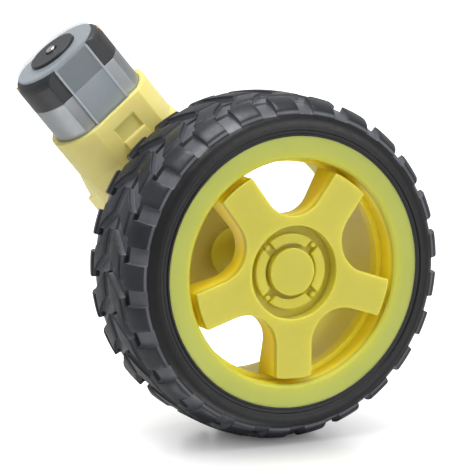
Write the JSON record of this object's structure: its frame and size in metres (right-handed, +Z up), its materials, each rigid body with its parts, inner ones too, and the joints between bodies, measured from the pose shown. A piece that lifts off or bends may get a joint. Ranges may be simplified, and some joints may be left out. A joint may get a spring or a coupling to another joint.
{
  "type": "geared motor drive wheel",
  "caption": "Right-angle gear motor drive unit for a small robot car, with a spoked wheel and rubber tyre on its double-ended output shaft.",
  "frame": {"origin": "midway between the two chassis screw holes, on the gearbox face away from the wheel", "axes": "+Y along the wheel axis, from the wheel towards the chassis; +Z up with the wheel standing on the floor and the motor raised 50.1 degrees; -X the side that the motor leans to"},
  "size_m": [0.073, 0.0569, 0.0784],
  "materials": {
    "housing_yellow": "smooth translucent moulded plastic",
    "wheel_yellow": "smooth translucent moulded plastic",
    "tyre_rubber": "matte moulded rubber",
    "motor_steel": "satin plated steel",
    "cap_black": "satin moulded nylon",
    "strap_clear": "clear moulded plastic",
    "gear_white": "satin moulded acetal",
    "steel_bright": "ground steel",
    "screw_steel": "zinc plated steel",
    "bronze": "sintered bronze",
    "copper": "enamelled copper wire",
    "brass_sheet": "bare rolled brass",
    "ferrite": "matte sintered ferrite",
    "laminated_steel": "stacked steel sheet"
  },
  "bodies": {
    "gearbox": {"gearbox_base": "housing_yellow", "gearbox_cover": "housing_yellow", "housing_screws": "screw_steel", "reduction_pin": "steel_bright", "crown_pin": "steel_bright", "motor_can": "motor_steel", "motor_end_cap": "cap_black", "motor_strap": "strap_clear", "front_bush": "bronze", "rear_bush": "bronze", "magnet_upper": "ferrite", "magnet_lower": "ferrite", "brush_upper": "brass_sheet", "brush_lower": "brass_sheet", "terminal_upper": "brass_sheet", "terminal_lower": "brass_sheet"},
    "wheel": {"tyre": "tyre_rubber", "wheel_rim": "wheel_yellow", "output_shaft": "gear_white"},
    "reduction": {"reduction_gear": "gear_white"},
    "crown": {"crown_gear": "gear_white"},
    "rotor": {"motor_shaft": "steel_bright", "motor_pinion": "gear_white", "armature_core": "laminated_steel", "armature_windings": "copper", "commutator": "copper", "thrust_washers": "gear_white"}
  },
  "joints": [
    {"name": "wheel_spin", "type": "hinge", "parent": "gearbox", "child": "wheel", "pos_m": [0.01315, -0.0094, -0.01573], "axis": [0, 1, 0], "continuous": true},
    {"name": "reduction_spin", "type": "hinge", "parent": "gearbox", "child": "reduction", "pos_m": [0.00673, -0.0094, -0.00805], "axis": [0, 1, 0], "continuous": true},
    {"name": "crown_spin", "type": "hinge", "parent": "gearbox", "child": "crown", "pos_m": [0.0016, -0.0094, -0.00192], "axis": [0, 1, 0], "continuous": true},
    {"name": "rotor_spin", "type": "hinge", "parent": "gearbox", "child": "rotor", "pos_m": [-0.0093, -0.0094, 0.01112], "axis": [-0.6414, 0, 0.7672], "continuous": true}
  ],
  "couplings": [
    {"joint": "reduction_spin", "follows": "wheel_spin", "ratio": -4},
    {"joint": "crown_spin", "follows": "wheel_spin", "ratio": 16},
    {"joint": "rotor_spin", "follows": "wheel_spin", "ratio": 48}
  ]
}
